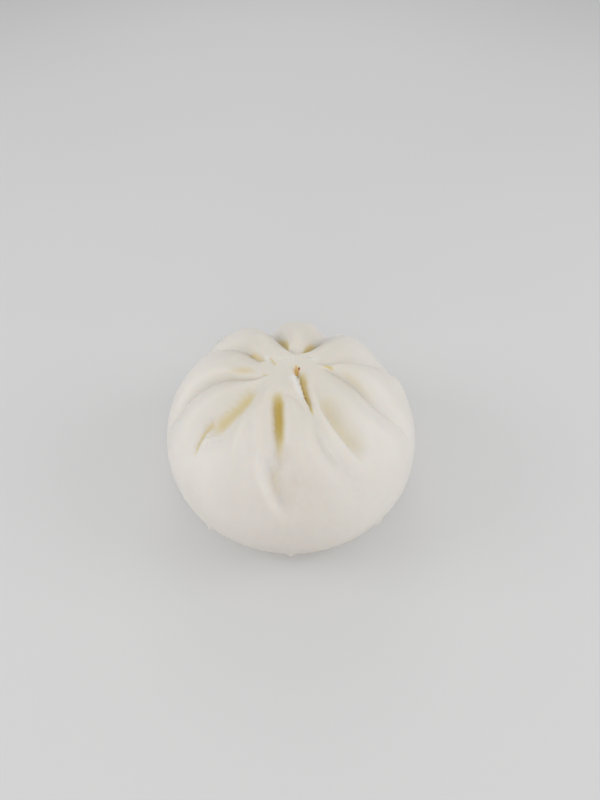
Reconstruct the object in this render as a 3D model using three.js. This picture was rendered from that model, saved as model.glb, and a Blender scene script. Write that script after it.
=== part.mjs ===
// A steamed bun of pleated white dough: one solid, in millimetres, +Z up, resting on its flat base.
// The origin is the middle of the base. The front of the bun faces -Y, and the right-hand side is +X.
import * as THREE from "three";
import { mergeVertices } from "three/addons/utils/BufferGeometryUtils.js";

// ---- Driving sizes, in millimetres ----
const BELT_RADIUS = 46; // the widest part of the bun
const BELT_HEIGHT = 19.5; // how high the widest part lies
const CROWN_HEIGHT = 56.5; // the top of the dome that the pleats are folded into
const BASE_RADIUS = 37; // where the side wall meets the rim of the base
const DOME_POWER = 2.12; // 2 is an ellipse, more is squarer at the shoulder
const BELLY_POWER = 2.2; // how the wall draws in under the belt
const RIM_HEIGHT = 0.9; // the rounded edge of the base
// Scraps of dough that stand out low on the wall: the angle in degrees and the height of each.
const SCRAPS = [
  [229, 10.5],
  [268.5, 7.5],
  [312.5, 10.5],
];
const SCRAP_REACH = 0.8; // how far they stand out
const SCRAP_SIZE = 2.3; // and how far they reach round their middle
const CROWN_SINK = 1.6; // how far the gathered middle lies under the dome
const CROWN_SINK_REACH = 16; // how far out from the middle the sinking reaches
const DOME_LEAN = 1.1; // the dome leans to the left by this much at the crown

// ---- Resolution ----
const COLUMNS_PER_PLEAT = 12;
const DOME_ROWS = 39;
const BELLY_ROWS = 7;
const BASE_RINGS = 2;
const CROWN_CROWDING = 1.15; // over 1 puts the rows closer together near the crown

// ---- The pleats ----
// They are listed anticlockwise, seen from above, each by the groove that it rises from. The two lists hold one value
// for each station, a distance from the crown over the dough: first the angle of the groove in degrees from +X, then
// its depth. The two distances after them are where the groove opens and where it has faded out. The share is how far
// over the pleat, towards the next groove, the crest lies. before and after are how steep the groove's two sides are, on
// the pleat before it and on its own: 1 is even, more is steeper close to the groove. The pleats in front tuck under
// those behind them, so that the steep side is the one further back. floor is 0 for a pinched crease and 1 for a wide
// rounded valley. lift is the height of the crest over the dome.
const STATIONS = [10, 22, 34, 46];
const pleat = (name, turn, depth, [opens, fades], crest, { before = 3.2, after = 1.8, floor = 0, lift = 0 } = {}) => ({
  name,
  turn,
  depth,
  opens,
  fades,
  crest,
  before,
  after,
  floor,
  lift,
});
const PLEATS = [
  pleat("back right", [10, 19, 25, 26], [1.4, 2.8, 4.0, 3.0], [9, 62], 0.5, { before: 2, after: 3.8, floor: 0.2, lift: 1.0 }),
  pleat("knob", [58, 61, 65, 68], [2.1, 5.9, 6.2, 3.0], [8, 60], 0.5, { before: 1.5, after: 4, lift: 1.1 }),
  pleat("back left", [91, 98, 100, 100], [2.1, 5.9, 6.2, 3.0], [8, 60], 0.5, { before: 4, after: 1.4, lift: 1.4 }),
  pleat("left", [150, 137, 138, 145], [2.6, 3.8, 4.0, 2.6], [7, 64], 0.6, { before: 5, after: 1.6, lift: 0.9 }),
  pleat("left front", [203, 181, 179, 186], [1.1, 3.4, 3.8, 2.8], [6, 64], 0.5, { before: 6, after: 1.7 }),
  pleat("front left", [220, 217, 214, 213], [0.8, 4.0, 4.2, 1.6], [8, 56], 0.62, { floor: 1 }),
  pleat("front", [249, 260, 262, 268], [1.6, 2.6, 2.2, 1.0], [9, 58], 0.56, { floor: 1 }),
  pleat("fold", [292, 292, 293, 299], [1.0, 1.3, 1.5, 1.2], [8, 60], 0.45, { floor: 0.8 }),
  pleat("front right", [318, 308, 310, 313], [1.0, 1.6, 1.8, 0.8], [9, 54], 0.5, { floor: 1 }),
  pleat("right", [358, 352, 344, 344], [0.8, 3.3, 4.0, 2.6], [9, 62], 0.45, { before: 1.7, after: 4.5, floor: 0.15, lift: 1.0 }),
];
const OPENING = 6; // a groove reaches its depth over this distance
const FADE_START = 42; // and begins to fade at this distance from the crown

// ---- Strokes ----
// A stroke is a furrow along a bend from one point to another, seen from above and pulled towards the one between, or
// a ridge where its depth is negative. The widths are those of its left and right sides, looking along it, eases are
// the shares of its length over which its start and its end run out, and taper is how wide its end is beside its start.
const stroke = (name, start, pull, end, depth, widths, eases, taper = 1) => ({
  name,
  start,
  pull,
  end,
  depth,
  widths,
  eases,
  taper,
});
const STROKES = [
  stroke("tear", [2.6, 1.6], [4.1, -7.9], [8, -18.8], 2.2, [4.0, 1.5], [0.25, 0.25], 0.6),
  stroke("tear mouth", [2.2, 2.2], [2.3, -0.4], [3.4, -4.2], 1.1, [1.8, 1.6], [0.4, 0.4]),
  stroke("torn lip", [1.4, 0.6], [1.6, -8.4], [6.2, -17], -0.6, [1.1, 4.0], [0.35, 0.45]),
  stroke("under the knob", [-2.4, 15], [3.6, 1.4], [9.6, 15], 2.1, [2.8, 1.8], [0.3, 0.3]),
  stroke("knob crease", [-6.5, 26], [-4, 26.5], [-1, 25], 0.7, [1.6, 1.4], [0.2, 0.5]),
  stroke("gathered ridge", [-4.5, 6.4], [2, 5.4], [9, 3.4], -0.4, [1.6, 2.6], [0.35, 0.35]),
  stroke("front slot", [-3.4, -9.8], [-3.6, -22], [-3.8, -37], 2.3, [3.0, 3.0], [0.25, 0.6]),
  stroke("below the slot", [-6.4, -29], [-8, -40.5], [1.5, -44.6], 2.2, [7.5, 2.6], [0.35, 0.4]),
  stroke("beside the slot", [-10.6, -29], [-11.2, -41], [-0.6, -45], -0.6, [2.0, 2.6], [0.3, 0.35]),
  stroke("dip", [-10.4, -16], [-13.2, -25], [-13.6, -37], 1.1, [3.6, 3.4], [0.35, 0.5]),
  stroke("beside the dip", [-13.6, -14], [-17.8, -21], [-18.4, -34], -0.6, [2.4, 2.6], [0.35, 0.4]),
  stroke("valley tail", [-25.6, -14.6], [-32.4, -17.2], [-33.4, -25.5], 0.8, [1.7, 1.6], [0.3, 0.4]),
  stroke("valley bump", [-31, -19.8], [-28.6, -22], [-25, -21], -0.7, [1.5, 1.7], [0.4, 0.4]),
  stroke("left pit", [-14, 12], [-10.4, 9.2], [-7.4, 3.6], 1.0, [1.4, 2.2], [0.5, 0.3]),
  stroke("left nick", [-6.9, 5.8], [-6.2, 3.9], [-4.2, 0.4], 0.4, [0.9, 0.9], [0.3, 0.3]),
  stroke("right pit", [9.2, 3.0], [12.8, 2.2], [16.8, 1.0], 0.7, [1.7, 1.6], [0.4, 0.4]),
  stroke("front right hollow", [10.2, -10.5], [11.5, -21], [25.8, -30], 2.2, [8, 2.4], [0.4, 0.3]),
  stroke("rim of the hollow", [17.8, -9.5], [23.5, -17.5], [29.5, -29], -0.6, [3.2, 3.2], [0.35, 0.4]),
  stroke("fold crease", [7.2, -19], [8, -31], [18.6, -35.6], 1.2, [2.0, 4.2], [0.4, 0.4]),
  stroke("flap edge", [-2.8, -12.3], [2.4, -12.2], [6, -18.6], 0.6, [1, 2.4], [0.2, 0.3]),
  stroke("corner", [35, 11], [38.5, 6], [39.5, -1], -1.2, [6, 5], [0.45, 0.45]),
  stroke("left shoulder", [-20, 27], [-28, 21], [-34, 12], -1.4, [9, 9], [0.4, 0.4]),
  stroke("first flake", [17.5, 27.5], [19.2, 28.6], [20.8, 28.4], -1.0, [1.1, 1.0], [0.3, 0.3]),
  stroke("second flake", [12.6, 25.4], [14, 26.4], [16, 26.2], -0.7, [1.0, 0.9], [0.3, 0.3]),
];
const STROKE_STEPS = 12;

const clamp = (x, low, high) => Math.min(high, Math.max(low, x));
const mix = (a, b, share) => a + (b - a) * share;
const smooth = (x) => {
  const c = clamp(x, 0, 1);
  return c * c * (3 - 2 * c);
};
const radians = THREE.MathUtils.degToRad;

// ---- The outline of the bun in section: from the crown, over the shoulder and the belt, to the rim and the base ----
function domePoint(angle) {
  return new THREE.Vector2(
    BELT_RADIUS * Math.sin(angle) ** (2 / DOME_POWER),
    BELT_HEIGHT + (CROWN_HEIGHT - BELT_HEIGHT) * Math.cos(angle) ** (2 / DOME_POWER),
  );
}

function bellyPoint(height) {
  const down = (BELT_HEIGHT - height) / BELT_HEIGHT;
  return new THREE.Vector2(BELT_RADIUS - (BELT_RADIUS - BASE_RADIUS) * down ** BELLY_POWER, height);
}

// The dome as an even run of points with the distance walked over it, so that a distance gives a point.
const DOME_STEPS = 400;
const dome = [];
for (let i = 0; i <= DOME_STEPS; i++) {
  const point = domePoint((i / DOME_STEPS) * (Math.PI / 2));
  const walked = i ? dome[i - 1].walked + point.distanceTo(dome[i - 1].point) : 0;
  dome.push({ point, walked });
}
const DOME_LENGTH = dome[DOME_STEPS].walked;

function onDome(walked) {
  let i = 1;
  while (i < DOME_STEPS && dome[i].walked < walked) i++;
  const a = dome[i - 1];
  const b = dome[i];
  const share = clamp((walked - a.walked) / (b.walked - a.walked), 0, 1);
  const along = b.point.clone().sub(a.point).normalize();
  return { point: a.point.clone().lerp(b.point, share), normal: new THREE.Vector2(-along.y, along.x) };
}

function outline() {
  const rows = [];
  for (let j = 0; j <= DOME_ROWS; j++) {
    const walked = (j / DOME_ROWS) ** CROWN_CROWDING * DOME_LENGTH;
    rows.push({ walked, ...onDome(walked) });
  }
  for (let j = 1; j <= BELLY_ROWS; j++) {
    const height = mix(BELT_HEIGHT, RIM_HEIGHT, j / BELLY_ROWS);
    const walked = DOME_LENGTH + BELT_HEIGHT - height;
    rows.push({ walked, point: bellyPoint(height), normal: new THREE.Vector2(1, 0) });
  }
  const rim = bellyPoint(RIM_HEIGHT).x;
  for (let j = 0; j <= BASE_RINGS; j++) {
    const point = new THREE.Vector2((rim - RIM_HEIGHT) * (1 - j / BASE_RINGS), 0);
    rows.push({ walked: DOME_LENGTH + BELT_HEIGHT, point, normal: new THREE.Vector2(0, -1) });
  }
  return rows.reverse();
}

// ---- Pleats ----
// The value of a list at a distance from the crown: a smooth curve through the stations, level beyond both ends.
function atStation(list, walked) {
  const last = STATIONS.length - 1;
  const place = clamp(((walked - STATIONS[0]) / (STATIONS[last] - STATIONS[0])) * last, 0, last);
  const i = Math.min(Math.floor(place), last - 1);
  const t = place - i;
  const value = (k) => list[clamp(k, 0, last)];
  const [a, b, c, d] = [value(i - 1), value(i), value(i + 1), value(i + 2)];
  return 0.5 * (2 * b + (c - a) * t + (2 * a - 5 * b + 4 * c - d) * t ** 2 + (3 * b - a - 3 * c + d) * t ** 3);
}

const grooveAngle = ({ turn }, walked) => radians(atStation(turn, walked));

function grooveDepth({ depth, opens, fades }, walked) {
  const open = smooth((walked - opens) / OPENING);
  return atStation(depth, walked) * open * (1 - smooth((walked - FADE_START) / (fades - FADE_START)));
}

// How the depth of a groove runs out over a share x of the way up its side.
const side = (x, power, floor) => mix((1 - x) ** power, 1 - smooth(x), floor);

// How far the dough lies under the dome at a share of the way over a pleat.
function pleatSink(index, share, walked) {
  const here = PLEATS[index];
  const next = PLEATS[(index + 1) % PLEATS.length];
  const sink =
    share < here.crest
      ? grooveDepth(here, walked) * side(share / here.crest, here.after, here.floor)
      : grooveDepth(next, walked) * side((1 - share) / (1 - here.crest), next.before, next.floor);
  const lift = here.lift * smooth(2.5 * Math.min(share, 1 - share)) * smooth((walked - 10) / 12);
  return sink - lift * (1 - smooth((walked - 34) / 20));
}

// ---- Strokes ----
function strokeSink({ start, pull, end, depth, widths, eases, taper }, x, y) {
  const bend = (t, k) => (1 - t) ** 2 * start[k] + 2 * t * (1 - t) * pull[k] + t ** 2 * end[k];
  let nearest = { gap: Infinity };
  for (let i = 0; i < STROKE_STEPS; i++) {
    const [t0, t1] = [i / STROKE_STEPS, (i + 1) / STROKE_STEPS];
    const [ax, ay] = [bend(t0, 0), bend(t0, 1)];
    const [dx, dy] = [bend(t1, 0) - ax, bend(t1, 1) - ay];
    const t = clamp(((x - ax) * dx + (y - ay) * dy) / (dx ** 2 + dy ** 2), 0, 1);
    const gap = Math.hypot(x - ax - t * dx, y - ay - t * dy);
    const width = dx * (y - ay) - dy * (x - ax) > 0 ? widths[0] : widths[1];
    if (gap < nearest.gap) nearest = { gap, width, place: mix(t0, t1, t) };
  }
  const ends = smooth(nearest.place / eases[0]) * smooth((1 - nearest.place) / eases[1]);
  return depth * ends * (1 - smooth(nearest.gap / nearest.width / mix(1, taper, nearest.place)));
}

// ---- Scraps ----
function scrapReach(angle, point) {
  let reach = 0;
  for (const [turn, height] of SCRAPS) {
    const off = angle - radians(turn);
    const round = point.x * (off - 2 * Math.PI * Math.round(off / (2 * Math.PI)));
    reach += SCRAP_REACH * (1 - smooth(Math.hypot(round, point.y - height) / SCRAP_SIZE));
  }
  return reach;
}

// ---- The solid ----
// A column of the mesh runs along a groove or at an even share of the pleat between two.
function columnPlace(column) {
  const even = (column % COLUMNS_PER_PLEAT) / COLUMNS_PER_PLEAT;
  return {
    index: Math.floor(column / COLUMNS_PER_PLEAT) % PLEATS.length,
    share: mix(even, 0.5 - 0.5 * Math.cos(Math.PI * even), 0.5),
  };
}

function columnAngle({ index, share }, walked) {
  const here = grooveAngle(PLEATS[index], walked);
  let next = grooveAngle(PLEATS[(index + 1) % PLEATS.length], walked);
  if (next < here) next += 2 * Math.PI;
  return mix(here, next, share);
}

function bunGeometry() {
  const rows = outline();
  const columns = PLEATS.length * COLUMNS_PER_PLEAT;
  const geometry = new THREE.LatheGeometry(
    rows.map((row) => row.point),
    columns,
  );
  const position = geometry.attributes.position;
  for (let column = 0; column <= columns; column++) {
    const place = columnPlace(column);
    rows.forEach(({ walked, point, normal }, j) => {
      const angle = columnAngle(place, walked);
      const [x, y] = [point.x * Math.cos(angle), point.x * Math.sin(angle)];
      let sink = 0;
      if (normal.y >= 0) {
        sink = pleatSink(place.index, place.share, walked) + CROWN_SINK * (1 - smooth(walked / CROWN_SINK_REACH));
        for (const one of STROKES) sink += strokeSink(one, x, y) * smooth(normal.y * 3);
      }
      if (point.y < BELT_HEIGHT && normal.y === 0) sink -= scrapReach(angle, point);
      const radius = Math.max(0, point.x - normal.x * sink);
      const height = point.y - normal.y * sink;
      const lean = -DOME_LEAN * smooth(height / CROWN_HEIGHT);
      position.setXYZ(column * rows.length + j, radius * Math.cos(angle) + lean, radius * Math.sin(angle), height);
    });
  }
  geometry.computeBoundingBox();
  const middle = geometry.boundingBox.getCenter(new THREE.Vector3());
  geometry.translate(-middle.x, -middle.y, 0);
  geometry.deleteAttribute("normal");
  geometry.deleteAttribute("uv");
  return mergeVertices(geometry, 1e-4);
}

function bun() {
  const dough = new THREE.MeshStandardMaterial({ color: 0xe6e1d6, roughness: 0.6, metalness: 0 });
  const mesh = new THREE.Mesh(bunGeometry(), dough);
  mesh.name = "bun";
  return mesh;
}

const steamedBun = new THREE.Group();
steamedBun.add(bun());

export default steamedBun;
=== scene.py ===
import math
from collections import namedtuple

import bmesh
import bpy
import numpy as np
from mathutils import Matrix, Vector, noise


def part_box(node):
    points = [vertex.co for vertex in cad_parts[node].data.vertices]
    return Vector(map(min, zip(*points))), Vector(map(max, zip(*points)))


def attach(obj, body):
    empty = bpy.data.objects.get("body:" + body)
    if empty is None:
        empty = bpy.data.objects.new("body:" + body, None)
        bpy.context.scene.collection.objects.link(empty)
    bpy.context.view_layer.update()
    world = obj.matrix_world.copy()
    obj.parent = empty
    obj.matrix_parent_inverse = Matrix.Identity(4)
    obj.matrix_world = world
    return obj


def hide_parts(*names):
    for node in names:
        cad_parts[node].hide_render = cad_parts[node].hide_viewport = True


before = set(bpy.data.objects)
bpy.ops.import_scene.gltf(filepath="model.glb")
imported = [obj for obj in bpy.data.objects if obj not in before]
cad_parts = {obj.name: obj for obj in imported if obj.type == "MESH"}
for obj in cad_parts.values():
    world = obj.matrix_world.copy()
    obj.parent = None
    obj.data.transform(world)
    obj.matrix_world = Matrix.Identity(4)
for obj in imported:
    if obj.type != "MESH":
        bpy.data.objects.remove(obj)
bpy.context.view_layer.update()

bl_info = {
    "name": "Steamed bun",
    "version": (1, 0, 0),
    "blender": (4, 5, 0),
    "location": "3D View > Sidebar > Steamed bun",
    "description": "A pleated steamed bun of white dough with a small tear at its crown, on a plain pale floor",
    "category": "Object",
}

LOW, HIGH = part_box("bun")
MM = 0.001

# The front of the bun faces -Y and the right-hand side is +X. The tables below are in millimetres and degrees, seen
# from above, with the origin in the middle of the base.

# ---- Pleats ----
# Anticlockwise, each by the groove that it rises from: its angle from +X and its depth at each station, a distance
# from the crown over the dough, then where it opens and fades, the share of the way to the next groove at which the
# crest lies, how steep the groove's sides are on the pleat before it and on its own (1 is even, more is steeper close
# to the groove), how round its floor is from 0 to 1, and how far the crest stands over the dome.
STATIONS = (10, 22, 34, 46)
Pleat = namedtuple("Pleat", "name turn depth opens fades crest before after floor lift", defaults=(3.2, 1.8, 0, 0))
PLEATS = (
    Pleat("back right", (10, 19, 25, 26), (1.4, 2.8, 4.0, 3.0), 9, 62, 0.5, before=2, after=3.8, floor=0.2, lift=1.0),
    Pleat("knob", (58, 61, 65, 68), (2.1, 5.9, 6.2, 3.0), 8, 60, 0.5, before=1.5, after=4, lift=1.1),
    Pleat("back left", (91, 98, 100, 100), (2.1, 5.9, 6.2, 3.0), 8, 60, 0.5, before=4, after=1.4, lift=1.4),
    Pleat("left", (150, 137, 138, 145), (2.6, 3.8, 4.0, 2.6), 7, 64, 0.6, before=5, after=1.6, lift=0.9),
    Pleat("left front", (203, 181, 179, 186), (1.1, 3.4, 3.8, 2.8), 6, 64, 0.5, before=6, after=1.7),
    Pleat("front left", (220, 217, 214, 213), (0.8, 4.0, 4.2, 1.6), 8, 56, 0.62, floor=1),
    Pleat("front", (249, 260, 262, 268), (1.6, 2.6, 2.2, 1.0), 9, 58, 0.56, floor=1),
    Pleat("fold", (292, 292, 293, 299), (1.0, 1.3, 1.5, 1.2), 8, 60, 0.45, floor=0.8),
    Pleat("front right", (318, 308, 310, 313), (1.0, 1.6, 1.8, 0.8), 9, 54, 0.5, floor=1),
    Pleat("right", (358, 352, 344, 344), (0.8, 3.3, 4.0, 2.6), 9, 62, 0.45, before=1.7, after=4.5, floor=0.15, lift=1),
)
# How far over the dough a groove takes to open, and how far from the crown it starts to fade.
OPENING = 6
FADE_START = 42
# How much the columns of faces crowd towards the grooves, from 0 to 1.
GROOVE_CROWDING = 0.5
# Where from the crown the crests start to rise and to fall, each with how far over the dough that takes, and how soon
# across the pleat a crest is reached.
CREST_RISE, CREST_FALL = (10, 12), (34, 20)
CREST_FULLNESS = 2.5
# How far from the crown the gathered middle lies low, how far the soft swellings take to set in, how high over the base
# the wall stays plain, and how soon a slope counts as facing up.
SUNK_REACH, SWELL_START = 16, 20
FOOT_HEIGHT = 6
FACING_UP = 3

# ---- Noise ----
# Noise on the dough with finer noise on top: the size of each, how strong the finer is, and the seed of the first.
Grit = namedtuple("Grit", "size fine_size fine_share seed")
TORN_GRIT = Grit(1.7, 0.7, 0.6, 1)
SWELL_GRIT = Grit(13, 3.6, 0.3, 3)
LUMP_SEED, LUMP_FINER, LUMP_FINE_SHARE = 5, 2.3, 0.5

# ---- Strokes ----
# A furrow along a bend from start to end, pulled towards the point between, or a ridge where its depth is negative.
# The widths are those of its left and right sides, looking along it, the eases the shares of its length over which it
# starts and ends, the ragged values how far its two edges wander, and the taper how wide its end is beside its start.
Stroke = namedtuple("Stroke", "name start pull end depth widths eases ragged taper", defaults=((0, 0), 1))
# How many straight steps stand for a bend, and the narrowest that a ragged stroke gets.
STROKE_STEPS = 16
NARROWEST = 0.2
FOLDS = (
    Stroke("tear", (2.6, 1.6), (4.1, -7.9), (8, -18.8), 2.2, (4.0, 1.2), (0.25, 0.25), (0.5, 1.4), 0.6),
    Stroke("tear mouth", (2.2, 2.2), (2.3, -0.4), (3.4, -4.2), 1.1, (1.8, 1.6), (0.4, 0.4), (0.4, 0.8)),
    Stroke("torn lip", (1.4, 0.6), (1.6, -8.4), (6.2, -17), -0.6, (1.1, 4.0), (0.35, 0.45), (0.8, 0.4)),
    Stroke("under the knob", (-2.4, 15), (3.6, 1.4), (9.6, 15), 2.1, (2.8, 1.8), (0.3, 0.3)),
    Stroke("knob crease", (-6.5, 26), (-4, 26.5), (-1, 25), 0.7, (1.6, 1.4), (0.2, 0.5)),
    Stroke("gathered ridge", (-4.5, 6.4), (2, 5.4), (9, 3.4), -0.4, (1.6, 2.6), (0.35, 0.35), (0.4, 0.4)),
    Stroke("front slot", (-3.4, -9.8), (-3.6, -22), (-3.8, -37), 2.3, (3.0, 3.0), (0.25, 0.6)),
    Stroke("below the slot", (-6.4, -29), (-8, -40.5), (1.5, -44.6), 2.2, (7.5, 2.6), (0.35, 0.4)),
    Stroke("beside the slot", (-10.6, -29), (-11.2, -41), (-0.6, -45), -0.6, (2.0, 2.6), (0.3, 0.35)),
    Stroke("dip", (-10.4, -16), (-13.2, -25), (-13.6, -37), 1.1, (3.6, 3.4), (0.35, 0.5)),
    Stroke("beside the dip", (-13.6, -14), (-17.8, -21), (-18.4, -34), -0.6, (2.4, 2.6), (0.35, 0.4)),
    Stroke("valley tail", (-25.6, -14.6), (-32.4, -17.2), (-33.4, -25.5), 0.8, (1.7, 1.6), (0.3, 0.4)),
    Stroke("valley bump", (-31, -19.8), (-28.6, -22), (-25, -21), -0.7, (1.5, 1.7), (0.4, 0.4)),
    Stroke("left pit", (-14, 12), (-10.4, 9.2), (-7.4, 3.6), 1.0, (1.4, 2.2), (0.5, 0.3), (0.3, 0.3)),
    Stroke("left nick", (-6.9, 5.8), (-6.2, 3.9), (-4.2, 0.4), 0.4, (0.9, 0.9), (0.3, 0.3), (0.4, 0.4)),
    Stroke("right pit", (9.2, 3.0), (12.8, 2.2), (16.8, 1.0), 0.7, (1.7, 1.6), (0.4, 0.4)),
    Stroke("front right hollow", (10.2, -10.5), (11.5, -21), (25.8, -30), 2.2, (8, 2.4), (0.4, 0.3)),
    Stroke("rim of the hollow", (17.8, -9.5), (23.5, -17.5), (29.5, -29), -0.6, (3.2, 3.2), (0.35, 0.4)),
    Stroke("fold crease", (7.2, -19), (8, -31), (18.6, -35.6), 1.2, (2.0, 4.2), (0.4, 0.4)),
    Stroke("flap edge", (-2.8, -12.3), (2.4, -12.2), (6, -18.6), 0.6, (1, 2.4), (0.2, 0.3)),
    Stroke("corner", (35, 11), (38.5, 6), (39.5, -1), -1.2, (6, 5), (0.45, 0.45)),
    Stroke("left shoulder", (-20, 27), (-28, 21), (-34, 12), -1.4, (9, 9), (0.4, 0.4)),
    Stroke("first flake", (17.5, 27.5), (19.2, 28.6), (20.8, 28.4), -1.0, (1.1, 1.0), (0.3, 0.3), (1.0, 1.0)),
    Stroke("second flake", (12.6, 25.4), (14, 26.4), (16, 26.2), -0.7, (1.0, 0.9), (0.3, 0.3), (0.9, 0.9)),
)
# Scraps of dough that stand out low on the wall: the angle and the height of each, then how far they stand out, how
# big they are and how ragged.
SCRAPS = ((229, 10.5), (268.5, 7.5), (312.5, 10.5))
SCRAP_REACH, SCRAP_SIZE, SCRAP_RAGGED = 0.8, 2.3, 0.9

# ---- Paint ----
# Stains of oil and broth in the folds, seen on the folded dough: the depth is how strong each is. Two of them are also
# painted shade: the spot at the start of the left front crease and the wide one in the front right hollow.
STAINS_AND_SHADE = (
    Stroke("left pit", (-22, 15.4), (-12.2, 10.6), (-7.9, 3.0), 0.55, (1.7, 1.2), (0.6, 0.25), (0.8, 0.6), 0.7),
    Stroke("left nick", (-6.9, 5.4), (-6.1, 3.4), (-4.3, 0.6), 0.6, (0.6, 0.6), (0.3, 0.3), (0.3, 0.3)),
    Stroke("left front", (-24.5, 2.0), (-17, -0.6), (-9.6, -2.8), 0.38, (3.4, 2.0), (0.55, 0.3), (1.8, 1.0)),
    # Partly stained dough, partly painted shadow in the crease.
    Stroke("left front spot", (-9.8, -2.8), (-8.4, -3.2), (-7.0, -4.2), 0.5, (0.6, 0.6), (0.3, 0.3), (0.2, 0.2)),
    Stroke("front left", (-9.4, -8.2), (-16.4, -13.0), (-28.6, -20.2), 0.56, (2.9, 3.3), (0.3, 0.32), (0.9, 1.1), 2.0),
    Stroke("valley tail", (-24, -15), (-31.0, -15.4), (-32.2, -26), 0.50, (2.4, 2.4), (0.15, 0.3), (0.6, 0.6), 0.4),
    Stroke("valley floor", (-20.5, -16), (-25.5, -15.8), (-30, -16.8), 0.34, (2.6, 1.8), (0.3, 0.3), (0.9, 0.9)),
    Stroke("slot", (-4.3, -9.2), (-3.8, -20), (-3.5, -37), 0.94, (2.8, 2.8), (0.2, 0.6), (0.5, 0.7)),
    Stroke("below the slot", (-5, -30), (-7, -36), (-4, -41), 0.26, (5.5, 3.0), (0.3, 0.4), (1.8, 1.8)),
    Stroke("right pit", (10.0, 0.8), (12.8, 0.2), (15.4, -0.6), 0.72, (0.9, 0.9), (0.4, 0.4), (0.3, 0.3)),
    Stroke("right", (14, 0.0), (25, -2.4), (33, -13.6), 0.26, (2.6, 1.4), (0.3, 0.6)),
    # Partly stained dough, partly painted shade in the hollow.
    Stroke("front right", (8.8, -10), (12.0, -20.6), (26.8, -30.8), 0.31, (8.6, 2.6), (0.2, 0.3)),
)
# The moist wall inside the tear, and the darker line along its torn lip, partly oil and partly painted shadow under
# the overhanging lip and in the narrow tip. Then how far both wander and over how many millimetres that dies out
# towards the tip, and the mean strength of the line and how far it swings.
TEAR_WALL = Stroke("tear wall", (2.6, 1.0), (2.8, -8.4), (7.5, -20.0), 1.0, (4.8, 0.7), (0.35, 0.15), (0.7, 0.3), 0.12)
TEAR_LINE = Stroke("tear line", (2.8, -2.2), (3.2, -9.0), (7.2, -18.6), 1.0, (1.9, 0.6), (0.15, 0.3), (0.6, 0.2), 0.4)
TEAR_WANDER, TEAR_STEADIES = 0.8, 9
LINE_STRENGTH, LINE_SWING = 0.62, 1.1
# Dry white frayed skin along the torn lip and at the ends of the folds.
DRY = (
    Stroke("torn lip", (0.8, -1.4), (1.0, -7.6), (5.0, -15.5), 0.65, (1.6, 3.0), (0.3, 0.3), (0.5, 1.2)),
    Stroke("left pit", (-8.8, 7.0), (-8.1, 4.6), (-7.0, 2.8), 0.65, (0.7, 0.8), (0.3, 0.3), (0.5, 0.5)),
    Stroke("under the knob", (-0.5, 8.4), (3.4, 6.0), (7.6, 8.6), 0.7, (1.4, 1.2), (0.3, 0.3), (0.8, 0.8)),
    Stroke("right of the knob", (5.0, 3.2), (7.4, 4.6), (10.4, 3.0), 0.5, (0.9, 0.9), (0.3, 0.3), (0.6, 0.6)),
)
# Round spots: where, how far each reaches each way and how strong it is. First the pink skin of the front, which is
# also painted shade darkening the low front, with spots of painted shade in the hollows at the ends of the slot and the
# valley; then the oil round the speck, with how ragged its edge is, and the speck.
Spot = namedtuple("Spot", "name x y reach_x reach_y depth", defaults=(1,))
BLUSHES_AND_SHADE = (
    # Pink skin, and painted shade darkening the low front.
    Spot("front", -2.0, -43.0, 42.0, 31.0, 0.76),
    Spot("front right of the slot", 3.0, -37.5, 13.0, 9.0, 0.4),
    # Painted shade in the hollow at the end of the slot.
    Spot("end of the slot", -3.2, -29.5, 4.2, 5.0, 0.9),
    # Painted shade in the hollow at the end of the valley.
    Spot("end of the valley", -25.5, -15.5, 6.0, 4.2, 0.7),
)
OIL, OIL_RAGGED = Spot("oil", 2.0, -0.3, 1.9, 3.3), 0.5
SPECK = Spot("speck", 2.9, 0.2, 0.8, 1.0)
# The ridge that stays clear of the pink skin and its painted shade.
CLEAR_RIDGE = Stroke("clear ridge", (-10.6, -28), (-11.4, -40), (0, -44.5), 0.5, (2.2, 2.8), (0.2, 0.3))
# Stains that creep up the dough from a groove: the pleat, the side of it, how far up near the crown and far from it,
# from where to where from the crown, and how strong. Over the dough, how far each takes to start and to stop, and
# where and how fast it narrows.
Seep = namedtuple("Seep", "pleat side reach start stop strength")
SEEPS = (
    Seep("knob", "end", (0.24, 0.08), 8, 36, 0.75),
    Seep("knob", "start", (0.19, 0.07), 7, 32, 0.8),
)
SEEP_STARTS, SEEP_STOPS = 5, 14
SEEP_NARROWS = (11, 14)
# Painted shade: the skin is darker round the crown, standing in for the lighter rim that the light gives towards the
# outline. Where from the crown it starts to fade, and how far over the dough that takes.
CROWN_SHADE_FADE = (12, 28)

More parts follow.
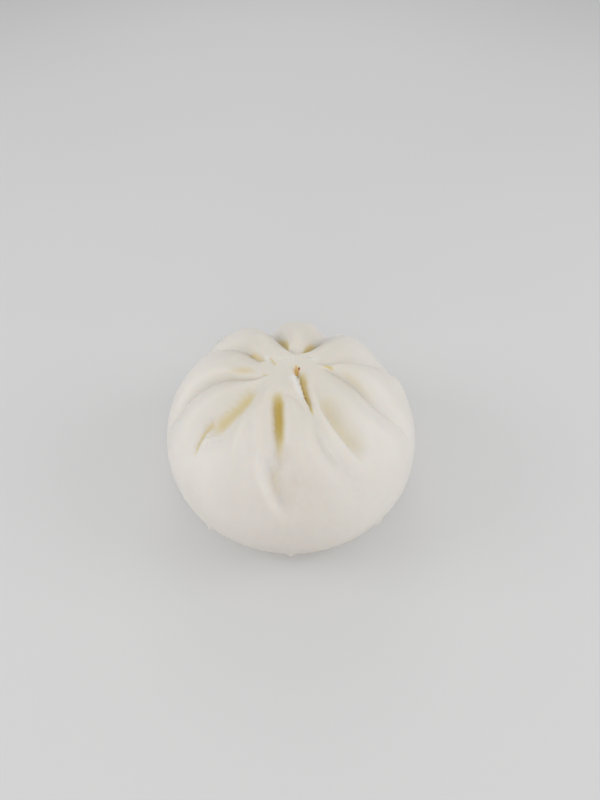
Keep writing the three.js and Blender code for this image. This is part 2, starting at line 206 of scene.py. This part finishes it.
# ---- Rough skin ----
# Patches of broken, lumpy skin on the folded dough: where, how far they reach each way, how high the lumps stand, how
# big they are, and for wrinkles how many times longer they are one way and the angle of it.
Patch = namedtuple("Patch", "name x y reach_x reach_y height lump longer turn", defaults=(1, 0))
PATCHES = (
    Patch("below the slot", -5.4, -35.5, 6.5, 8.0, 0.26, 1.2),
    Patch("end of the valley", -26.2, -21.4, 5.5, 3.2, 0.6, 1.5),
    Patch("right of the fold", 18.0, -35.0, 9.0, 6.5, 0.20, 1.1, 3.0, -38),
    Patch("torn flap", 2.6, -9.0, 1.9, 7.5, 0.30, 0.8),
    Patch("gathered crown", -3.0, 4.6, 9.0, 4.0, 0.22, 1.4),
    Patch("left edge", -34.4, 16.0, 3.0, 3.0, 0.5, 1.2),
    Patch("low left edge", -42.6, 7.5, 2.6, 3.6, 0.35, 1.1),
    Patch("far left edge", -26.8, 26.2, 6.5, 4.6, 0.95, 0.8),
    Patch("right corner", 37.5, 6.0, 2.6, 4.0, 0.4, 1.0),
    Patch("under the nose", 7.2, 4.6, 4.0, 2.0, 0.40, 0.9),
    Patch("left of the slot", -16.0, -34.0, 9.0, 6.0, 0.08, 1.4),
)
# The least share of a patch that gets lumps, and the height from which lumps count as fully broken skin.
LEAST_PATCH = 0.01
FULLY_BROKEN = 0.3


def smooth(x):
    """Nought to one with both ends eased."""
    c = np.clip(x, 0.0, 1.0)
    return c * c * (3.0 - 2.0 * c)


def ease(x, start, span):
    """Nought up to a start, eased to one over the span after it."""
    return smooth((x - start) / span)


def blend(a, b, share):
    return a + (b - a) * share


def grain(points, size, seed):
    """Smooth noise from -1 to 1 at points in millimetres, with lumps of a size in millimetres."""
    offset = Vector((3.1 * seed, 7.7 * seed, 1.3 * seed))
    return np.array([noise.noise(Vector(p) / size + offset) for p in points])


def gritty(points, grit):
    """Smooth noise with finer noise on top of it."""
    return grain(points, grit.size, grit.seed) + grit.fine_share * grain(points, grit.fine_size, grit.seed + 1)


# ---- The dough's surface, in millimetres ----
class Dough:
    """The outline of the bun in section, before it is folded: a base, a rounded rim, a belly and a dome."""

    DOME_STEPS = 801
    RIM_POINTS = 5

    def __init__(self, shape):
        self.belt = shape.belt_radius / MM
        self.belt_height = shape.belt_height / MM
        self.crown = shape.crown_height / MM
        self.base = shape.base_radius / MM
        self.rim = shape.rim_height / MM
        self.shape = shape
        self.turns = np.linspace(0, math.pi / 2, self.DOME_STEPS)
        across, up = self.dome(self.turns)
        steps = np.hypot(np.diff(across), np.diff(up))
        self.walked = np.concatenate(([0.0], np.cumsum(steps)))
        self.length = self.walked[-1]

    def dome(self, turn):
        power = 2 / self.shape.dome_power
        rise = self.crown - self.belt_height
        return self.belt * np.sin(turn) ** power, self.belt_height + rise * np.abs(np.cos(turn)) ** power

    def belly(self, height):
        down = (self.belt_height - height) / self.belt_height
        return self.belt - (self.belt - self.base) * np.abs(down) ** self.shape.belly_power

    def section(self):
        """The outline from the middle of the base to the crown, as (across, up)."""
        foot = self.belly(self.rim) - self.rim
        base = [(foot * i / self.shape.base_rings, 0.0) for i in range(self.shape.base_rings)]
        bend = np.linspace(0, math.pi / 2, self.RIM_POINTS)
        arc = [(foot + self.rim * math.sin(a), self.rim * (1 - math.cos(a))) for a in bend]
        heights = np.linspace(self.rim, self.belt_height, self.shape.belly_rows + 1)[1:-1]
        belly = [(self.belly(h), h) for h in heights]
        shares = np.linspace(1, 0, self.shape.dome_rows + 1) ** self.shape.crown_crowding
        turns = np.interp(shares * self.length, self.walked, self.turns)
        across, up = self.dome(turns)
        across[-1], up[-1] = 0.0, self.crown
        return base + arc + belly + list(zip(across, up))

    def place(self, across, up):
        """The distance from the crown over the dough, and the outline's normal, of points on the outline."""
        power = self.shape.dome_power / 2
        rise = np.clip((up - self.belt_height) / (self.crown - self.belt_height), 0, 1)
        turn = np.arctan2(np.clip(across / self.belt, 0, 1) ** power, rise**power)
        on_dome = up >= self.belt_height - 1e-6
        walked = np.where(on_dome, np.interp(turn, self.turns, self.walked), self.length + self.belt_height - up)
        s, c = np.clip(np.sin(turn), 1e-4, 1), np.clip(np.cos(turn), 1e-4, 1)
        tilt = 2 / self.shape.dome_power - 1
        out = np.where(on_dome, (self.crown - self.belt_height) * c**tilt * s, 1.0)
        lift = np.where(on_dome, self.belt * s**tilt * c, 0.0)
        long = np.hypot(out, lift)
        return walked, out / long, lift / long


def at_station(values, walked):
    """A value for each station as a smooth curve over the distance from the crown, level beyond both ends."""
    values = np.asarray(values, float)
    last = len(STATIONS) - 1
    place = np.clip((walked - STATIONS[0]) / (STATIONS[last] - STATIONS[0]) * last, 0, last)
    i = np.minimum(place.astype(int), last - 1)
    t = place - i
    a, b, c, d = (values[np.clip(i + k, 0, last)] for k in (-1, 0, 1, 2))
    return 0.5 * (2 * b + (c - a) * t + (2 * a - 5 * b + 4 * c - d) * t**2 + (3 * b - a - 3 * c + d) * t**3)


def groove_depth(pleat, walked):
    opened = ease(walked, pleat.opens, OPENING)
    return at_station(pleat.depth, walked) * opened * (1 - ease(walked, FADE_START, pleat.fades - FADE_START))


def flank(x, power, floor):
    """How the depth of a groove runs out over a share x of the way up its side."""
    return blend((1 - x) ** power, 1 - smooth(x), floor)


def pleat_sink(here, after, share, walked):
    """How far the dough lies under the dome at a share of the way over a pleat."""
    up = groove_depth(here, walked) * flank(np.clip(share / here.crest, 0, 1), here.after, here.floor)
    down = groove_depth(after, walked) * flank(np.clip((1 - share) / (1 - here.crest), 0, 1), after.before, after.floor)
    lift = here.lift * smooth(CREST_FULLNESS * np.minimum(share, 1 - share)) * ease(walked, *CREST_RISE)
    return np.where(share < here.crest, up, down) - lift * (1 - ease(walked, *CREST_FALL))


def stroke_reach(stroke, x, y, rough=0.0):
    """How much of a stroke there is at points seen from above, from 0 outside it to 1 along its middle."""
    t = np.linspace(0, 1, STROKE_STEPS + 1)
    bend = [(1 - t) ** 2 * stroke.start[k] + 2 * t * (1 - t) * stroke.pull[k] + t**2 * stroke.end[k] for k in (0, 1)]
    gap = np.full(len(x), np.inf)
    width, place = np.ones(len(x)), np.zeros(len(x))
    for i in range(STROKE_STEPS):
        dx, dy = bend[0][i + 1] - bend[0][i], bend[1][i + 1] - bend[1][i]
        ox, oy = x - bend[0][i], y - bend[1][i]
        along = np.clip((ox * dx + oy * dy) / (dx * dx + dy * dy), 0, 1)
        off = np.hypot(ox - along * dx, oy - along * dy)
        left = dx * oy - dy * ox > 0
        edge = np.where(left, stroke.widths[0] + stroke.ragged[0] * rough, stroke.widths[1] + stroke.ragged[1] * rough)
        edge = edge * blend(1, stroke.taper, (i + along) / STROKE_STEPS)
        near = off < gap
        gap, width = np.where(near, off, gap), np.where(near, edge, width)
        place = np.where(near, (i + along) / STROKE_STEPS, place)
    ends = smooth(place / stroke.eases[0]) * smooth((1 - place) / stroke.eases[1])
    return ends * (1 - smooth(gap / np.maximum(width, NARROWEST)))


def spot_reach(spot, points):
    """1 at the place of a spot or patch seen from above, running out to 0 at its reach."""
    return 1 - smooth(np.hypot((points[:, 0] - spot.x) / spot.reach_x, (points[:, 1] - spot.y) / spot.reach_y))


def over_pleats(turned):
    """The pleat that each point of the turned section lies in, and the share of the way over it."""
    column = np.mod(np.arctan2(turned[:, 1], turned[:, 0]) / (2 * math.pi) * len(PLEATS), len(PLEATS))
    column = np.where(column > len(PLEATS) - 1e-6, 0, column)
    index = column.astype(int)
    even = column - index
    return index, blend(even, 0.5 - 0.5 * np.cos(math.pi * even), GROOVE_CROWDING)


def fold_pleats(index, share, walked):
    """The angle that points of the pleats come to lie at, and how far under the dome they lie."""
    angle, sink = np.zeros(len(walked)), np.zeros(len(walked))
    for i, here in enumerate(PLEATS):
        after = PLEATS[(i + 1) % len(PLEATS)]
        mine = index == i
        start, stop = at_station(here.turn, walked[mine]), at_station(after.turn, walked[mine])
        stop = np.where(stop < start, stop + 360, stop)
        angle[mine] = np.radians(blend(start, stop, share[mine]))
        sink[mine] = pleat_sink(here, after, share[mine], walked[mine])
    return angle, sink


def patch_lumps(patch, flat):
    """The lumps or wrinkles of a patch of broken skin, at points of the unfolded dough."""
    turn = math.radians(patch.turn)
    along, aside = flat @ (math.cos(turn), math.sin(turn), 0), flat @ (-math.sin(turn), math.cos(turn), 0)
    drawn = np.stack((along / patch.longer, aside, flat[:, 2]), 1)
    return gritty(drawn, Grit(patch.lump, patch.lump / LUMP_FINER, LUMP_FINE_SHARE, LUMP_SEED))


# The folded dough: its points, and for each what the paint needs: how far from the crown it lies over the dough, its
# pleat and the share of the way over it, how far it faces up, how a torn edge wanders there and how broken the skin is.
Folded = namedtuple("Folded", "points walked index share facing_up torn_edge broken")


def fold_dough(dough, turned):
    """Moves the points of the turned section, in millimetres, into the folded bun."""
    shape = dough.shape
    across, up = np.hypot(turned[:, 0], turned[:, 1]), turned[:, 2]
    walked, out, lift = dough.place(across, up)
    index, share = over_pleats(turned)
    angle, sink = fold_pleats(index, share, walked)
    x, y = across * np.cos(angle), across * np.sin(angle)
    flat = np.stack((x, y, up), 1)
    torn_edge = gritty(flat, TORN_GRIT)

    sink += shape.crown_sink / MM * (1 - smooth(walked / SUNK_REACH))
    facing_up = smooth(lift * FACING_UP)
    for stroke in FOLDS:
        sink += stroke.depth * stroke_reach(stroke, x, y, torn_edge) * facing_up
    sink += shape.unevenness / MM * gritty(flat, SWELL_GRIT) * smooth(walked / SWELL_START)
    sink = np.where(up < dough.belt_height, sink * smooth(up / FOOT_HEIGHT), sink)
    for turn, height in SCRAPS:
        off = angle - math.radians(turn)
        way = across * (off - 2 * math.pi * np.round(off / (2 * math.pi)))
        size = 1 - smooth(np.hypot(way, up - height) / SCRAP_SIZE)
        sink -= SCRAP_REACH * (1 + SCRAP_RAGGED * torn_edge) * size

    across, up = np.maximum(0, across - out * sink), np.maximum(0, up - lift * sink)
    lean = -shape.lean / MM * smooth(up / dough.crown)
    points = np.stack((across * np.cos(angle) + lean, across * np.sin(angle), up), 1)
    middle = (points.min(0) + points.max(0)) / 2
    points[:, :2] -= middle[:2]

    broken = np.zeros(len(turned))
    for patch in PATCHES:
        mask = spot_reach(patch, points) * facing_up
        here = mask > LEAST_PATCH
        lumps = np.zeros(len(turned))
        lumps[here] = patch_lumps(patch, flat[here])
        stand = patch.height * mask * lumps
        points += np.stack((stand * out * np.cos(angle), stand * out * np.sin(angle), stand * lift), 1)
        broken = np.maximum(broken, mask * min(1, patch.height / FULLY_BROKEN))
    return Folded(points, walked, index, share, facing_up, torn_edge, broken)


def strongest(strokes, folded):
    """The strongest of some strokes at each point of the folded dough."""
    strength = np.zeros(len(folded.points))
    for stroke in strokes:
        reach = stroke_reach(stroke, folded.points[:, 0], folded.points[:, 1], folded.torn_edge)
        strength = np.maximum(strength, stroke.depth * reach)
    return strength


def paint_dough(folded):
    """What is painted on the folded dough: for each coat how strong it is at each point."""
    points, walked, index, share, facing_up, torn_edge, broken = folded
    # The stains of the folds, with the painted shade of two of them.
    stain_and_shade = strongest(STAINS_AND_SHADE, folded)
    for seep in SEEPS:
        mine = index == [pleat.name for pleat in PLEATS].index(seep.pleat)
        way = share if seep.side == "start" else 1 - share
        span = ease(walked, seep.start, SEEP_STARTS) * smooth((seep.stop - walked) / SEEP_STOPS)
        reach = blend(*seep.reach, ease(walked, *SEEP_NARROWS))
        stain_and_shade = np.maximum(stain_and_shade, mine * seep.strength * span * (1 - smooth(way / reach)))
    # Pink skin, with painted shade on the low front and in two hollows.
    blush_and_shade = sum(dull.depth * spot_reach(dull, points) for dull in BLUSHES_AND_SHADE)
    clear = CLEAR_RIDGE.depth * stroke_reach(CLEAR_RIDGE, points[:, 0], points[:, 1])
    wander = TEAR_WANDER * torn_edge * ease(points[:, 1], TEAR_WALL.end[1], TEAR_STEADIES)
    torn_at = points[:, 0] + wander, points[:, 1]
    line = LINE_STRENGTH + LINE_SWING * torn_edge
    return {
        "stain_and_shade": stain_and_shade * facing_up,
        "torn": stroke_reach(TEAR_WALL, *torn_at, torn_edge) * facing_up,
        # The darker line along the lip: oil, and painted shadow under the lip.
        "lip_line_and_shadow": stroke_reach(TEAR_LINE, *torn_at, torn_edge) * line * facing_up,
        "oil": spot_reach(OIL, points) * (1 + OIL_RAGGED * torn_edge) * facing_up,
        "speck": spot_reach(SPECK, points) * facing_up,
        "blush_and_shade": blush_and_shade * (1 - clear),
        "dry": strongest(DRY, folded) * facing_up,
        # Painted shade: darker skin round the crown, fading outwards.
        "crown": 1 - ease(walked, *CROWN_SHADE_FADE),
        "broken": broken,
    }


# ---- Shader maths ----
class Wire:
    """What comes out of a node's socket. Sums on wires add Math nodes."""

    def __init__(self, paint, socket):
        self.paint, self.socket = paint, socket

    def math(self, operation, *terms):
        return self.paint.node("ShaderNodeMath", {"operation": operation}, dict(enumerate(terms)))

    def __add__(self, other):
        return self.math("ADD", self, other)

    def __sub__(self, other):
        return self.math("SUBTRACT", self, other)

    def __mul__(self, other):
        return self.math("MULTIPLY", self, other)

    __radd__ = __add__


def pick(sockets, key):
    """The socket at a place, or with an identifier or a name, or None."""
    return next((s for i, s in enumerate(sockets) if key in (i, s.identifier, s.name)), None)


class Finish:
    """A material and its nodes."""

    def __init__(self, name):
        self.material = bpy.data.materials.new(name)
        self.material.use_nodes = True
        self.tree = self.material.node_tree
        self.tree.nodes.clear()

    def node(self, kind, settings=None, sockets=None, output=0):
        """A node of a kind, with its settings made first and then its sockets filled. Returns one of its outputs."""
        made = self.tree.nodes.new(kind)
        for name, value in (settings or {}).items():
            setattr(made, name, value)
        for key, value in (sockets or {}).items():
            socket = pick(made.inputs, key)
            if isinstance(value, Wire):
                self.tree.links.new(value.socket, socket)
            else:
                socket.default_value = value
        found = pick(made.outputs, output)
        return Wire(self, found) if found else made

    def attribute(self, name):
        return self.node("ShaderNodeAttribute", {"attribute_name": name}, output="Fac")

    def lumps(self, where, size, detail, roughness=0.5):
        """Noise from 0 to 1 with lumps of a size in metres."""
        sockets = {"Vector": where, "Scale": 1 / size, "Detail": detail, "Roughness": roughness}
        return self.node("ShaderNodeTexNoise", None, sockets)

    def range(self, wire, low, high, to_low=0.0, to_high=1.0):
        """A wire that runs from one value to another, eased, while another wire runs from low to high."""
        sockets = {"Value": wire, "From Min": low, "From Max": high, "To Min": to_low, "To Max": to_high}
        return self.node("ShaderNodeMapRange", {"interpolation_type": "SMOOTHSTEP"}, sockets)

    def mix(self, share, a, b):
        settings = {"data_type": "RGBA", "clamp_factor": True}
        return self.node("ShaderNodeMix", settings, {"Factor_Float": share, "A_Color": a, "B_Color": b}, "Result_Color")

    def bump(self, strength, distance, height):
        """The normal of a relief with a height, as a wire."""
        sockets = {"Strength": strength, "Distance": distance, "Height": height}
        return self.node("ShaderNodeBump", None, sockets, "Normal")

    def surface(self, **sockets):
        """The surface shader, as the material's output."""
        shader = self.node("ShaderNodeBsdfPrincipled", None, {k.replace("_", " "): v for k, v in sockets.items()})
        self.node("ShaderNodeOutputMaterial", None, {"Surface": shader})
        return self.material


def colour(value):
    return (*value, 1.0)


# Sizes in metres of the clouds, the mottling, the fine grain and the pores of the skin, and how deep its relief is.
CLOUD_SIZE, MOTTLE_SIZE, FINE_SIZE, PORE_SIZE = 0.016, 0.0035, 0.0009, 0.0016
SKIN_RELIEF = 0.0002


def dough_finish(look):
    """Satin steamed dough: faintly mottled, finely pored, pink in front, stained where oil gathered in the folds, and
    with painted shade round the crown, low in front, in a few creases and hollows and under the torn lip.
    """
    finish = Finish("steamed_dough")
    where = finish.node("ShaderNodeTexCoord", output="Object")
    painted = ("stain_and_shade", "torn", "lip_line_and_shadow", "oil", "speck", "blush_and_shade", "broken", "dry", "crown")
    stain_and_shade, torn, lip_line_and_shadow, oil, speck, blush_and_shade, broken, dry, crown = (finish.attribute(name) for name in painted)
    broad = finish.lumps(where, CLOUD_SIZE, 3.0)
    middling = finish.lumps(where, MOTTLE_SIZE, 4.0, 0.6)
    fine = finish.lumps(where, FINE_SIZE, 5.0, 0.65)
    fray = fine - 0.5
    patchy = stain_and_shade * (0.75 + middling * 0.5)

    # The coats of colour over the skin, from the lowest up: how strong each is and its colour.
    coats = (
        (finish.range(broad, 0.35, 0.65), look.skin_shade),
        # Painted shade round the crown.
        (crown, look.crown_shade),
        # Pink skin, with painted shade low in front and in the hollows.
        (blush_and_shade * finish.range(middling, 0.2, 0.8, 0.7, 1.0), look.rosy_and_shade),
        (broken * finish.range(middling, 0.35, 0.7, 0.0, 0.4), look.dry),
        (finish.range(dry + fray * 0.8, 0.1, 0.9), look.dry),
        # Stains, with painted shade in a crease and a hollow.
        (finish.range(patchy, 0.04, 0.7), look.straw),
        (finish.range(patchy, 0.62, 1.15), look.ochre),
        (finish.range(torn + fray * 0.5, 0.05, 0.8), look.torn),
        # Oil, and painted shadow along the torn lip.
        (finish.range(lip_line_and_shadow * (0.45 + middling) + fray * 0.5, 0.25, 0.9), look.lip),
        (finish.range(oil + fray * 0.6, 0.1, 1.1), look.oil),
        (finish.range(speck + fray * 0.6, 0.4, 0.75), look.speck),
    )
    base = colour(look.skin)
    for strength, coat in coats:
        base = finish.mix(strength, base, colour(coat))

    pores = finish.node(
        "ShaderNodeTexVoronoi",
        {"feature": "SMOOTH_F1"},
        {"Vector": where, "Scale": 1 / PORE_SIZE, "Smoothness": 0.6, "Randomness": 1.0},
        "Distance",
    )
    height = fine * 0.35 + middling * 0.5 + finish.range(pores, 0.0, 0.35) * 0.3 + (torn + broken + dry) * fine * 1.6
    return finish.surface(
        Base_Color=base,
        Roughness=look.roughness + fray * 0.16 + (middling - 0.5) * 0.1 - patchy * 0.06,
        Normal=finish.bump(look.relief, SKIN_RELIEF, height),
        Subsurface_Weight=look.softness,
        Subsurface_Radius=(1.0, 0.72, 0.48),
        Subsurface_Scale=look.softness_depth,
    )


# Sizes in metres of the floor's clouds and grit, how light the clouds are beside the rest, and how strong and how deep
# its relief is.
FLOOR_CLOUD_SIZE, FLOOR_GRIT_SIZE = 0.25, 0.0012
FLOOR_SHADE = 0.985
FLOOR_BUMP, FLOOR_RELIEF = 0.15, 0.0001


def floor_finish(look):
    """A plain pale matt floor with a faint cloudiness."""
    finish = Finish("pale_floor")
    where = finish.node("ShaderNodeTexCoord", output="Object")
    cloud = finish.lumps(where, FLOOR_CLOUD_SIZE, 3.0)
    grit = finish.lumps(where, FLOOR_GRIT_SIZE, 3.0)
    shade = [c * FLOOR_SHADE for c in look.floor]
    base = finish.mix(finish.range(cloud, 0.3, 0.7), colour(look.floor), colour(shade))
    normal = finish.bump(FLOOR_BUMP, FLOOR_RELIEF, grit)
    return finish.surface(Base_Color=base, Roughness=0.7 + grit * 0.1, Normal=normal)


# ---- Pieces ----
def keep(mesh_from, name, material):
    """Makes an object at the origin from a bmesh, shaded smooth."""
    mesh = bpy.data.meshes.new(name)
    mesh_from.to_mesh(mesh)
    mesh_from.free()
    mesh.shade_smooth()
    mesh.materials.append(material)
    piece = bpy.data.objects.new(name, mesh)
    bpy.context.scene.collection.objects.link(piece)
    return piece


# Points of the turned section that lie closer than this, in millimetres, are one.
SEAM = 1e-4


def turn_section(dough, columns):
    """The section turned a full round into a closed skin."""
    skin = bmesh.new()
    points = [skin.verts.new((across, 0, up)) for across, up in dough.section()]
    line = [skin.edges.new(pair) for pair in zip(points, points[1:])]
    bmesh.ops.spin(
        skin, geom=points + line, cent=(0, 0, 0), axis=(0, 0, 1), angle=2 * math.pi, steps=columns, use_merge=True
    )
    bmesh.ops.remove_doubles(skin, verts=skin.verts, dist=SEAM)
    bmesh.ops.recalc_face_normals(skin, faces=skin.faces)
    return skin


def make_dough(shape, look):
    dough = Dough(shape)
    piece = keep(turn_section(dough, shape.columns), "folded_dough", dough_finish(look))
    mesh = piece.data
    turned = np.empty(len(mesh.vertices) * 3)
    mesh.vertices.foreach_get("co", turned)
    folded = fold_dough(dough, turned.reshape(-1, 3))
    mesh.vertices.foreach_set("co", (folded.points * MM).ravel())
    for name, values in paint_dough(folded).items():
        mesh.attributes.new(name, "FLOAT", "POINT").data.foreach_set("value", values)
    mesh.update()
    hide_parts("bun")
    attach(piece, "root")


# ---- Stage ----
# Where the camera stands and how far it turns to the right and down, the height of the frame and the focal length in
# pixels, the height of the sensor in millimetres, and the nearest that the camera sees in metres.
CAMERA_PLACE = Vector((0, -0.1512, 0.2023))
CAMERA_YAW, CAMERA_PITCH = math.radians(1.217), math.radians(47.173)
FRAME_HEIGHT, FOCAL_PIXELS = 800, 628
SENSOR_HEIGHT = 36
NEAREST = 0.005

# The softboxes: where each stands, the setting that its power is taken from, and its share of that. Then the size of
# all of them and the point that they aim at, in metres.
Softbox = namedtuple("Softbox", "name place power share", defaults=(1,))
SOFTBOXES = (
    Softbox("left_softbox", (-0.6, -0.03, 0.35), "side_power"),
    Softbox("right_softbox", (0.6, -0.03, 0.35), "side_power"),
    Softbox("front_softbox", (0, -0.5, 0.6), "front_power"),
    Softbox("low_softbox", (0, -0.65, 0.25), "front_power", 0.42),
    Softbox("back_softbox", (0, 0.6, 0.45), "back_power"),
)
SOFTBOX_SIZE = 0.40
LIGHTS_AIM = Vector((0, 0, 0.03))
FLOOR_SEGMENTS = 96


def look_along(thing, direction):
    thing.rotation_euler = direction.to_track_quat("-Z", "Y").to_euler()


def make_light(box, stage):
    data = bpy.data.lights.new(box.name, "AREA")
    data.shape, data.size, data.energy = "DISK", SOFTBOX_SIZE, box.share * getattr(stage, box.power)
    light = bpy.data.objects.new(box.name, data)
    light.location = box.place
    look_along(light, LIGHTS_AIM - Vector(box.place))
    bpy.context.scene.collection.objects.link(light)


def make_stage(stage):
    floor = bmesh.new()
    bmesh.ops.create_circle(floor, cap_ends=True, segments=FLOOR_SEGMENTS, radius=stage.floor_radius)
    piece = keep(floor, "floor", floor_finish(stage))
    for box in SOFTBOXES:
        make_light(box, stage)

    world = bpy.data.worlds.new("studio")
    world.use_nodes = True
    background = world.node_tree.nodes["Background"]
    background.inputs["Color"].default_value = (1, 1, 1, 1)
    background.inputs["Strength"].default_value = stage.sky
    bpy.context.scene.world = world

    data = bpy.data.cameras.new("camera")
    data.sensor_fit, data.sensor_height = "VERTICAL", SENSOR_HEIGHT
    data.lens = data.sensor_height * FOCAL_PIXELS / FRAME_HEIGHT
    data.clip_start = NEAREST
    camera = bpy.data.objects.new("camera", data)
    camera.location = CAMERA_PLACE
    level = math.cos(CAMERA_PITCH)
    look_along(camera, Vector((math.sin(CAMERA_YAW) * level, math.cos(CAMERA_YAW) * level, -math.sin(CAMERA_PITCH))))
    bpy.context.scene.collection.objects.link(camera)
    bpy.context.scene.camera = camera
    bpy.context.scene.view_settings.view_transform = "Standard"


# ---- What a user can change ----
def number(name, description, default, **more):
    return bpy.props.FloatProperty(name=name, description=description, default=default, **more)


def length(name, description, default):
    return number(name, description, default, unit="LENGTH", min=0, precision=4)


def count(name, description, default):
    return bpy.props.IntProperty(name=name, description=description, default=default, min=1)


def tint(name, description, default):
    return bpy.props.FloatVectorProperty(
        name=name, description=description, default=default, subtype="COLOR", size=3, min=0, max=1
    )


class BunShape(bpy.types.PropertyGroup):
    belt_radius: length("Belt radius", "Radius of the widest part of the bun", (HIGH.x - LOW.x) / 2)
    belt_height: length("Belt height", "Height of the widest part", 0.0195)
    crown_height: length("Crown height", "Height of the dome that the pleats are folded into", 0.0565)
    base_radius: length("Base radius", "Radius at which the wall meets the rim of the base", 0.037)
    rim_height: length("Rim height", "Radius of the rounded edge of the base", 0.0009)
    crown_sink: length("Crown sink", "How far the gathered middle lies under the dome", 0.0016)
    lean: length("Lean", "How far the crown leans to the left", 0.0011)
    unevenness: length("Unevenness", "Height of the soft swellings all over the dough", 0.0002)
    dome_power: number("Dome squareness", "2 is an ellipse in section, more is fuller at the shoulder", 2.12)
    belly_power: number("Belly draw", "How late the wall draws in under the belt", 2.2)
    crown_crowding: number("Crown crowding", "Over 1 puts the rows closer together near the crown", 1.15)
    columns: count("Columns", "Columns of faces round the bun", 480)
    dome_rows: count("Dome rows", "Rows of faces from the belt to the crown", 155)
    belly_rows: count("Belly rows", "Rows of faces from the rim to the belt", 20)
    base_rings: count("Base rings", "Rings of faces over the base", 3)


class DoughLook(bpy.types.PropertyGroup):
    skin: tint("Skin", "Colour of the smooth skin", (0.82, 0.785, 0.735))
    skin_shade: tint("Skin shade", "Colour of its darker clouds", (0.795, 0.76, 0.705))
    # The darker colour round the crown is painted shade.
    crown_shade: tint("Cream", "Colour of the skin round the gathered crown", (0.752, 0.712, 0.638))
    # Also the colour of the painted shade on the low front and in the hollows at the ends of the slot and the valley.
    rosy_and_shade: tint("Rosy", "Colour of the front, where the skin is a little pink", (0.72, 0.665, 0.605))
    straw: tint("Straw", "Colour of a light stain in a fold", (0.70, 0.585, 0.30))
    ochre: tint("Ochre", "Colour of the deepest stains", (0.72, 0.525, 0.07))
    torn: tint("Torn", "Colour of the moist dough inside the tear", (0.73, 0.61, 0.29))
    # The line is partly painted shadow under the overhanging lip.
    lip: tint("Lip", "Colour of the oily line along the torn lip", (0.62, 0.40, 0.12))
    oil: tint("Oil", "Colour of the oil round the speck", (0.72, 0.48, 0.15))
    dry: tint("Dry", "Colour of dry broken skin", (0.85, 0.84, 0.82))
    speck: tint("Speck", "Colour of the speck of oil at the top of the tear", (0.34, 0.085, 0.02))
    roughness: number("Roughness", "Roughness of the skin", 0.5, subtype="FACTOR", min=0, max=1)
    relief: number("Relief", "Strength of the pores and fine wrinkles", 0.35, subtype="FACTOR", min=0, max=1)
    softness: number("Softness", "How much light passes through the skin", 0.35, subtype="FACTOR", min=0, max=1)
    softness_depth: length("Softness depth", "How deep the light goes into the dough", 0.003)


class StageLook(bpy.types.PropertyGroup):
    floor: tint("Floor", "Colour of the floor", (0.72, 0.72, 0.72))
    floor_radius: length("Floor radius", "Radius of the floor", 4.0)
    side_power: number("Side lights", "Power of each side light", 0.87, unit="POWER", min=0)
    front_power: number("Front light", "Power of the front light", 0.80, unit="POWER", min=0)
    back_power: number("Back light", "Power of the back light", 0.4, unit="POWER", min=0)
    sky: number("Sky", "Strength of the even light from all sides", 0.56, min=0)


# ---- Operators ----
class BUN_OT_dough(bpy.types.Operator):
    """Fold the dough into the pleated bun"""

    bl_idname = "steamed_bun.dough"
    bl_label = "Folded dough"

    def execute(self, context):
        make_dough(context.scene.bun_shape, context.scene.bun_look)
        return {"FINISHED"}


class BUN_OT_stage(bpy.types.Operator):
    """Lay the pale floor and set up the studio light and the camera"""

    bl_idname = "steamed_bun.stage"
    bl_label = "Stage"

    def execute(self, context):
        make_stage(context.scene.bun_stage)
        return {"FINISHED"}


class BUN_PT_panel(bpy.types.Panel):
    """Lists the pieces of the bun and what can be changed on them"""

    bl_idname = "BUN_PT_panel"
    bl_label = "Steamed bun"
    bl_space_type = "VIEW_3D"
    bl_region_type = "UI"
    bl_category = "Steamed bun"

    def draw(self, context):
        for operator in OPERATORS:
            self.layout.operator(operator.bl_idname)
        for group in (context.scene.bun_shape, context.scene.bun_look, context.scene.bun_stage):
            box = self.layout.box()
            for name in group.__annotations__:
                box.prop(group, name)


OPERATORS = (BUN_OT_dough, BUN_OT_stage)
CLASSES = (BunShape, DoughLook, StageLook, *OPERATORS, BUN_PT_panel)


def register():
    for one in CLASSES:
        bpy.utils.register_class(one)
    bpy.types.Scene.bun_shape = bpy.props.PointerProperty(type=BunShape)
    bpy.types.Scene.bun_look = bpy.props.PointerProperty(type=DoughLook)
    bpy.types.Scene.bun_stage = bpy.props.PointerProperty(type=StageLook)


def unregister():
    del bpy.types.Scene.bun_shape, bpy.types.Scene.bun_look, bpy.types.Scene.bun_stage
    for one in reversed(CLASSES):
        bpy.utils.unregister_class(one)


def main():
    register()
    for step in (bpy.ops.steamed_bun.dough, bpy.ops.steamed_bun.stage):
        step()


if __name__ == "__main__":
    main()
